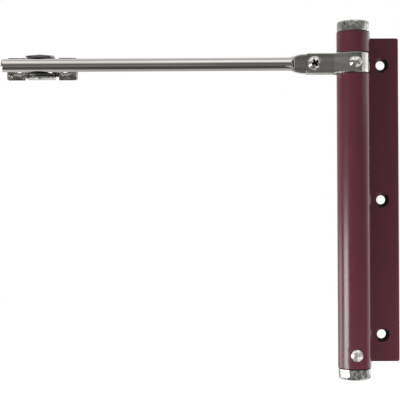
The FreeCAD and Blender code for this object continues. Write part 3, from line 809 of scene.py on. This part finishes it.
def roller_skin(s):
    """A wheel with a half-round groove: its radius is the arm's distance less the root of the
    groove's radius squared less the height squared."""
    low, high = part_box("guide_roller")
    half = (high.z - low.z) / 2
    arm_away = ROLLER.y - TUBE.y
    groove = s.arm_radius + 0.3 * MM
    sweep = np.linspace(-1.32, 1.32, 33)
    hollow = np.column_stack([arm_away - groove * np.cos(sweep), groove * np.sin(sweep)])
    r, inner = s.roller_radius, 1.55 * MM
    turn = np.linspace(0, math.pi / 2, 9)
    crown = np.column_stack([r - s.roller_crown * (1 - np.sin(turn)), -half + 0.95 * MM * (1 - np.cos(turn))])
    side = np.concatenate([[(inner, -half)], crown, [(r, -groove), (hollow[0, 0], hollow[0, 1])]])
    profile = np.concatenate([side[:-1], hollow, side[:-1][::-1] * [1, -1], side[:1]])
    profile = profile + [0, ROLLER.z]
    return Skin().patch(turned(profile, "Z", ROLLER, 128), around=True)


def axle_skin():
    """A rivet with a button head above and below."""
    low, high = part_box("roller_axle")
    r, head, tall = 1.5 * MM, 2.6 * MM, 0.8 * MM
    turn = np.linspace(0, math.pi / 2, 8)
    cap = np.column_stack([head * np.cos(turn), high.z - tall + tall * np.sin(turn)])
    upper = np.concatenate([[(r, high.z - tall)], cap])
    middle = (low.z + high.z) / 2
    lower = upper[::-1] * [1, -1] + [0, 2 * middle]
    return Skin().patch(turned(np.concatenate([lower, upper]), "Z", centre("roller_axle"), 64), around=True)


def bracket_skin(s):
    """A flat pattern of two ears and two tabs that is folded forward along two lines: past the fold
    line the way across the sheet turns along a quarter circle and then runs towards the front."""
    low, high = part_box("guide_bracket")
    t = s.sheet_thickness / 2
    mid_x, half, tall = (low.x + high.x) / 2, (high.x - low.x) / 2, (high.z - low.z) / 2
    plane = high.y - t
    bend = s.bracket_bend - t
    flat = tall - t - bend
    tab, relief = 8.5 * MM, 10.4 * MM
    neck = flat - 0.1 * MM
    fold = flat + bend * math.pi / 2
    side_y, front_y = ROLLER.y - 1.0 * MM, low.y
    arc_r = (tab ** 2 + (side_y - front_y) ** 2) / (2 * (side_y - front_y))
    hole_x = 14.2 * MM
    # Half a side of the blocks of grid round an ear's hole, the rivet's holes and the window
    block, rivet_block, window_block = 4.8 * MM, 2.4 * MM, 7.3 * MM
    outer = half - s.bracket_corner * (1 - np.sin(np.linspace(0, math.pi / 2, 9)))
    columns = np.concatenate([
        np.linspace(0, rivet_block, 5), np.linspace(rivet_block, window_block, 7)[1:],
        [tab, hole_x - block],
        np.linspace(relief, hole_x + block, 10), outer])
    columns = np.concatenate([-columns[:0:-1], columns])
    away = np.abs(columns)
    tab_front = front_y + arc_r - np.sqrt(arc_r ** 2 - np.clip(away, 0, tab) ** 2)
    tab_end = fold + (plane - bend) - tab_front
    turns = flat + bend * np.radians(np.arange(0, 91, 15))
    share = np.concatenate([np.linspace(0, 0.40, 5)[1:], np.linspace(0.40, 0.82, 9)[1:], [0.91, 1.0]])
    rise = np.concatenate([np.linspace(0, neck - 0.2 * MM, 7), [neck]])
    strip = np.concatenate([rise, turns])[:, None] + 0 * away
    strip = np.concatenate([strip, fold + share[:, None] * (tab_end - fold)])
    ear = strip.copy()
    ear[len(rise):len(rise) + 3] = neck + (tall - neck) * np.array([[1], [2], [3]]) / 3
    over = np.clip(away - half + s.bracket_corner, 0, None)
    inset = s.bracket_corner - np.sqrt(s.bracket_corner ** 2 - over ** 2)
    ear = ear * (1 - inset / tall)
    v = np.where(away > tab + 0.1 * MM, ear, strip)
    v = np.concatenate([-v[:0:-1], v])
    u = columns + 0 * v
    middle = len(v) // 2
    levels = np.abs(np.arange(len(v)) - middle)
    step = np.maximum(levels[:-1], levels[1:])
    far = np.maximum(away[:-1], away[1:]) - 1e-6
    whole = (far < tab)[None] | (step < len(rise))[:, None]
    keep = whole | ((far > relief)[None] & (step < len(rise) + 3)[:, None])

    drop = np.clip(np.abs(u) - half + s.bracket_end, 0, None)
    pattern = np.dstack([u, v, drop])
    skin = Skin()

    def column_at(value):
        """Column of the pattern nearest to a place."""
        return int(np.argmin(np.abs(columns - value)))

    def opening(rows, place_u, reach_u, rims):
        """Replaces a block of cells by rings to an opening: functions of its border, each with the painted
        shade there.
        """
        cut = (column_at(place_u - reach_u), column_at(place_u + reach_u))
        keep[rows[0]:rows[1], cut[0]:cut[1]] = False
        loop = frame_of(pattern, rows, cut)
        for rim, painted_shade in rims:
            inner = rim(loop)
            skin.patch(np.stack([loop, inner]), around=True, painted_shade=np.array([[0], [painted_shade]]))
            loop = inner

    def circle(place_u, place_v, radius, deep):
        """Ring of a radius round a place, sunk by a depth."""
        def rim(loop):
            angle = np.arctan2(loop[:, 1] - place_v, loop[:, 0] - place_u)
            return np.column_stack([place_u + radius * np.cos(angle), place_v + radius * np.sin(angle),
                                    0 * angle + deep])
        return rim

    def window(loop):
        """Rounded rectangle: the powers of its two coordinates add up to one."""
        size = (np.abs(loop[:, 0] / (6.2 * MM)) ** 14 + np.abs(loop[:, 1] / (5.6 * MM)) ** 14) ** (1 / 14)
        return loop / size[:, None]

    opening((middle - len(rise) - 4, middle + len(rise) + 4), 0, window_block, [(window, 0)])
    high_row = middle + len(rise) + len(turns) + 3
    axle_v = fold + plane - bend - ROLLER.y
    axle_r, sink_r, hole_r = 1.55 * MM, 4.3 * MM, 2.4 * MM
    low_row = 2 * middle - high_row
    for rows, place_v in (((high_row, high_row + 8), axle_v), ((low_row - 8, low_row), -axle_v)):
        opening(rows, 0, rivet_block, [(circle(0, place_v, axle_r, 0), 0)])
    for sign in (-1, 1):
        at_x = sign * hole_x
        # The wall of each ear's hole is painted dark: painted shade
        opening((middle - 6, middle + 6), at_x, block,
                [(circle(at_x, 0, sink_r, 0), 0), (circle(at_x, 0, sink_r - s.sink_step, 0.6 * MM), 0),
                 (circle(at_x, 0, hole_r, 0.75 * MM), 0.8)])
    skin.patch(pattern, keep=keep)

    def folded(points, off):
        """Places of pattern points, off the middle of the sheet towards the front."""
        over = np.clip(np.abs(points[:, 1]) - flat, 0, None)
        angle = np.minimum(over / bend, math.pi / 2)
        y = np.where(over > 0, plane - bend + (bend - off) * np.cos(angle), plane - off)
        z = np.where(over > 0, flat + (bend - off) * np.sin(angle), np.abs(points[:, 1]))
        y = y - np.clip(over - bend * math.pi / 2, 0, None)
        return np.column_stack([mid_x + points[:, 0], y, ROLLER.z + np.sign(points[:, 1]) * z])

    def ears(points, off):
        """The ears stay flat where the middle strip is folded."""
        u, v = points[:, 0], points[:, 1]
        level = np.column_stack([mid_x + u, plane - off + 0 * u, ROLLER.z + v])
        return np.where(np.abs(points[:, :1]) > tab + 0.1 * MM, level, folded(points, off))

    return skin.as_sheet(lambda points: ears(points, t - points[:, 2]), lambda points: ears(points, -t))


class CLOSER_OT_housing(bpy.types.Operator):
    """Builds the enamelled tube with its flange."""

    bl_idname = "closer.housing"
    bl_label = "Housing"

    def execute(self, context):
        sizes = context.scene.closer_sizes
        made = housing_skin(sizes).piece(
            "enamelled_housing", "body", finish_of("stove_enamel"), "brown_paint", "housing")
        ease_edges(made, width=0.16 * MM, angle=40)
        return {"FINISHED"}


class CLOSER_OT_caps(bpy.types.Operator):
    """Builds the plated caps at the tube's ends."""

    bl_idname = "closer.caps"
    bl_label = "End caps"

    def execute(self, context):
        sizes = context.scene.closer_sizes
        finish = finish_of("chrome_turned_brass")
        top_cap_skin(sizes).piece("plated_top_cap", "body", finish, "cap_chrome", "top_cap")
        bottom_cap_skin(sizes).piece("plated_bottom_cap", "tensioner", finish, "cap_chrome", "bottom_cap")
        return {"FINISHED"}


class CLOSER_OT_strap(bpy.types.Operator):
    """Builds the strap that clamps the arm, and the pin in its ring."""

    bl_idname = "closer.strap"
    bl_label = "Strap and drive pin"

    def execute(self, context):
        sizes = context.scene.closer_sizes
        made = strap_skin(sizes).piece(
            "plated_strap", "swing", finish_of("chrome_pressed_strip"), "strap_plate", "clamp_strap")
        ease_edges(made, width=0.12 * MM, angle=50)
        pin_skin("drive_pin", radius=3.75 * MM, shank=2.0 * MM, skirt=0.2 * MM, rise=2.1 * MM).piece(
            "domed_drive_pin", "swing", finish_of("nickel_headed_wire"), "screw_nickel", "drive_pin")
        return {"FINISHED"}


class CLOSER_OT_screws(bpy.types.Operator):
    """Builds the clamp screw with its washer and nut, and the lock screw."""

    bl_idname = "closer.screws"
    bl_label = "Screws"

    def execute(self, context):
        sizes = context.scene.closer_sizes
        finish = finish_of("nickel_headed_wire")
        clamp_screw_skin(sizes).piece("cross_recess_screw", "swing", finish, "screw_nickel", "clamp_screw")
        bore = 2.02 * MM
        washer_skin("clamp_washer", bore).piece(
            "plain_washer", "swing", finish, "screw_nickel", "clamp_washer")
        nut_skin(bore).piece("hexagon_nut", "swing", finish, "screw_nickel", "clamp_nut")
        pin_skin("lock_screw", radius=3.55 * MM, shank=2.0 * MM, skirt=2.7 * MM, rise=1.4 * MM).piece(
            "domed_lock_screw", "lock", finish_of("zinc_tumbled_screw"), "screw_nickel", "lock_screw")
        return {"FINISHED"}


class CLOSER_OT_arm(bpy.types.Operator):
    """Builds the round arm with its flattened tongue."""

    bl_idname = "closer.arm"
    bl_label = "Arm"

    def execute(self, context):
        sizes = context.scene.closer_sizes
        arm_skin(sizes).piece("plated_arm", "arm", finish_of("chrome_drawn_bar"), "arm_chrome", "arm_rod")
        return {"FINISHED"}


class CLOSER_OT_guide(bpy.types.Operator):
    """Builds the guide: folded bracket, grooved roller and rivet."""

    bl_idname = "closer.guide"
    bl_label = "Roller guide"

    def execute(self, context):
        sizes = context.scene.closer_sizes
        chrome = finish_of("chrome_pressed_sheet")
        made = bracket_skin(sizes).piece(
            "folded_bracket", "bracket", chrome, "bracket_chrome", "guide_bracket")
        ease_edges(made, width=0.18 * MM, angle=60)
        roller_skin(sizes).piece("grooved_roller", "roller", finish_of("black_moulded_nylon"), "black_nylon",
                                 "guide_roller")
        axle_skin().piece("roller_rivet", "carriage", chrome, "bracket_chrome", "roller_axle")
        return {"FINISHED"}


class CLOSER_OT_inner(bpy.types.Operator):
    """Gives the works inside the tube their finishes."""

    bl_idname = "closer.inner"
    bl_label = "Inner works"

    def execute(self, context):
        kinds = {
            "turned_steel": ("hub", "spindle", "adjuster", "spring_core"),
            "coiled_spring_steel": ("torsion_spring",),
            "natural_moulded_nylon": ("top_bush", "mid_bush", "tail_bush", "upper_washer", "lower_washer"),
        }
        for kind, nodes in kinds.items():
            for node in nodes:
                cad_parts[node].material_slots[0].material = finish_of(kind)
        return {"FINISHED"}


def lamp(name, place, target, size, power):
    """A soft rectangular lamp that faces a point."""
    data = bpy.data.lights.new(name, "AREA")
    data.shape = "RECTANGLE"
    data.size, data.size_y = size
    data.energy = power
    made = bpy.data.objects.new(name, data)
    bpy.context.scene.collection.objects.link(made)
    made.location = place
    way = np.array(target) - np.array(place)
    made.rotation_euler = Vector(way).to_track_quat("-Z", "Y").to_euler()
    return made


def pale_floor(colours):
    """A pale matt floor that glows faintly for the camera, so that it stays white round the object's shadow,
    and clear from below. For glossy rays it is black and glows with a painted reflection, so that plate that
    faces the front mirrors a dark studio floor that gets lighter far off, with a painted white card at the
    right."""
    made, tree, shader = new_material("pale_floor")
    rays = add(tree, "ShaderNodeLightPath")
    glossy = rays.outputs["Is Glossy Ray"]
    place = add(tree, "ShaderNodeSeparateXYZ", {"Vector": add(tree, "ShaderNodeTexCoord").outputs["Object"]})
    depth = stretch(tree, place.outputs["Y"], -1.4, 0.2)
    far_off = ramp(tree, depth, (0.0, 0.28), (0.38, 0.26), (0.56, 0.10), (0.83, 0.10), (0.89, 0.75))
    card_x = ramp(tree, place.outputs["X"], (0.0, 0.0), (0.08, 1.0), (0.55, 1.0), (0.75, 0.0))
    card_y = ramp(tree, depth, (0.5, 0.0), (0.6, 1.0), (0.9, 1.0))
    # Painted reflection that the floor shows to glossy rays
    painted_reflection = combine(tree, "MAXIMUM", far_off, combine(tree, "MULTIPLY", card_x, card_y))
    seen = combine(tree, "MULTIPLY", rays.outputs["Is Camera Ray"], 0.74)
    glow = add(tree, "ShaderNodeMix", {"Factor": glossy, "A": seen, "B": painted_reflection})
    feed(tree, shader, Base_Color=blend(tree, glossy, colours.floor, (0, 0, 0)),
         Emission_Strength=glow.outputs["Result"])
    shader.inputs["Emission Color"].default_value = (1, 1, 1, 1)
    shader.inputs["Roughness"].default_value = 0.8
    shader.inputs["Specular IOR Level"].default_value = 0.0
    under = add(tree, "ShaderNodeNewGeometry").outputs["Backfacing"]
    clear = add(tree, "ShaderNodeBsdfTransparent").outputs["BSDF"]
    shown = add(tree, "ShaderNodeMixShader", {0: under, 1: shader.outputs["BSDF"], 2: clear})
    tree.links.new(shown.outputs["Shader"], tree.nodes["Material Output"].inputs["Surface"])
    return made


def studio():
    """Surroundings: white for the camera, an even dim light for matt surfaces, and for gloss a white
    wall behind the object that gives way to a dark room in front of it, with a dim card at its left."""
    world = bpy.data.worlds.new("studio")
    world.use_nodes = True
    tree = world.node_tree
    tree.nodes.clear()
    way = add(tree, "ShaderNodeSeparateXYZ", {"Vector": add(tree, "ShaderNodeTexCoord").outputs["Generated"]})
    ahead = stretch(tree, way.outputs["Y"], 1.0, -1.0)
    back = ramp(tree, ahead,
                (0.0, 0.95), (0.37, 0.85), (0.49, 0.52), (0.57, 0.12), (0.86, 0.10), (0.97, 0.20))
    wall = combine(tree, "MULTIPLY", back, stretch(tree, way.outputs["X"], -1.0, 1.0, 0.5, 1.15))
    above = ramp(tree, way.outputs["Z"],
                 (0.14, 0.0), (0.22, 0.17), (0.42, 0.62), (0.68, 1.0), (0.92, 1.0), (1.0, 0.6))
    left = stretch(tree, way.outputs["X"], -1.0, 0.0)
    card = ramp(tree, left, (0.04, 0.0), (0.12, 0.19), (0.75, 0.19), (1.0, 0.0))
    room = combine(tree, "MAXIMUM", combine(tree, "MAXIMUM", wall, card), above)
    rays = add(tree, "ShaderNodeLightPath")
    gloss, even, white = (
        add(tree, "ShaderNodeBackground", {"Color": tint, "Strength": strength}).outputs["Background"]
        for tint, strength in ((room, 1.0), ((1, 1, 1, 1), 0.31), ((1, 1, 1, 1), 1.0)))
    lit = add(tree, "ShaderNodeMixShader", {0: rays.outputs["Is Glossy Ray"], 1: even, 2: gloss})
    lit = lit.outputs["Shader"]
    shown = add(tree, "ShaderNodeMixShader", {0: rays.outputs["Is Camera Ray"], 1: lit, 2: white})
    add(tree, "ShaderNodeOutputWorld", {"Surface": shown.outputs["Shader"]})
    return world


class CLOSER_OT_stage(bpy.types.Operator):
    """Sets the floor, the lamps, the surroundings and the camera."""

    bl_idname = "closer.stage"
    bl_label = "Stage"

    def execute(self, context):
        scene = context.scene
        colours = scene.closer_colours
        floor_half, floor_x, floor_z, count = 2.2, -0.1, -0.30, 9
        side = np.linspace(-1, 1, count) * floor_half
        x, y = np.meshgrid(side + floor_x, side, indexing="ij")
        mesh = bpy.data.meshes.new("floor")
        index = np.arange(count ** 2).reshape(count, count)
        cells = cells_of(index).reshape(-1, 4)
        points = np.stack([x, y, 0 * x + floor_z], axis=-1).reshape(-1, 3)
        mesh.from_pydata(points.tolist(), [], cells.tolist())
        floor = bpy.data.objects.new("floor", mesh)
        scene.collection.objects.link(floor)
        mesh.materials.append(pale_floor(colours))

        lamp("upper_softbox", (-0.15, -0.55, 0.75), (-0.10, 0.0, 0.05), (1.0, 0.6), 0.6)
        lamp("low_left_panel", (-0.703, -0.315, -0.165), (-0.018, -0.01, -0.06), (0.42, 0.24), 3.2)
        lamp("left_side_panel", (-0.690, 0.321, -0.165), (-0.018, -0.01, -0.05), (0.34, 0.24), 0.6)
        lamp("low_corner_panel", (-0.768, -0.02, -0.262), (-0.018, -0.01, -0.10), (0.26, 0.05), 0.25)
        lamp("right_panel", (0.725, -0.114, 0.19), (-0.018, -0.01, 0.08), (0.72, 0.14), 0.25)
        lamp("right_back_panel", (0.597, 0.418, 0.0), (-0.018, -0.01, 0.0), (0.30, 0.50), 0.7)
        fills = (lamp("low_right_fill", (0.14, -0.20, -0.27), (0.0, 0.0, -0.09), (0.20, 0.05), 0.5),
                 lamp("left_fill", (-0.55, -0.42, -0.05), (-0.02, -0.01, 0.0), (0.20, 0.20), 0.62),
                 lamp("right_fill", (0.60, -0.01, 0.05), (-0.02, -0.01, 0.0), (0.10, 0.50), 1.1))
        for fill in fills:
            fill.visible_glossy = False
        scene.world = studio()

        data = bpy.data.cameras.new("camera")
        data.lens = 86.96
        data.sensor_width = 36.0
        data.clip_start = 0.01
        camera = bpy.data.objects.new("camera", data)
        scene.collection.objects.link(camera)
        camera.location = (-0.11119, -0.5955, 0.00046)
        camera.rotation_euler = (math.pi / 2, math.radians(0.306), 0)
        scene.camera = camera
        scene.view_settings.view_transform = "Standard"
        return {"FINISHED"}


class CLOSER_PT_panel(bpy.types.Panel):
    """Lists the closer's pieces."""

    bl_idname = "CLOSER_PT_panel"
    bl_label = "Spring Door Closer"
    bl_space_type = "VIEW_3D"
    bl_region_type = "UI"
    bl_category = "Closer"

    def draw(self, context):
        for operator in OPERATORS:
            self.layout.operator(operator.bl_idname, text=operator.bl_label)


OPERATORS = (CLOSER_OT_housing, CLOSER_OT_caps, CLOSER_OT_strap, CLOSER_OT_screws, CLOSER_OT_arm,
             CLOSER_OT_guide, CLOSER_OT_inner, CLOSER_OT_stage)
CLASSES = (CloserSizes, CloserColours, *OPERATORS, CLOSER_PT_panel)


def register():
    for item in CLASSES:
        bpy.utils.register_class(item)
    bpy.types.Scene.closer_sizes = PointerProperty(type=CloserSizes)
    bpy.types.Scene.closer_colours = PointerProperty(type=CloserColours)


def unregister():
    del bpy.types.Scene.closer_colours
    del bpy.types.Scene.closer_sizes
    for item in reversed(CLASSES):
        bpy.utils.unregister_class(item)


def main():
    register()
    for operator in OPERATORS:
        group, name = operator.bl_idname.split(".")
        getattr(getattr(bpy.ops, group), name)()


if __name__ == "__main__":
    main()
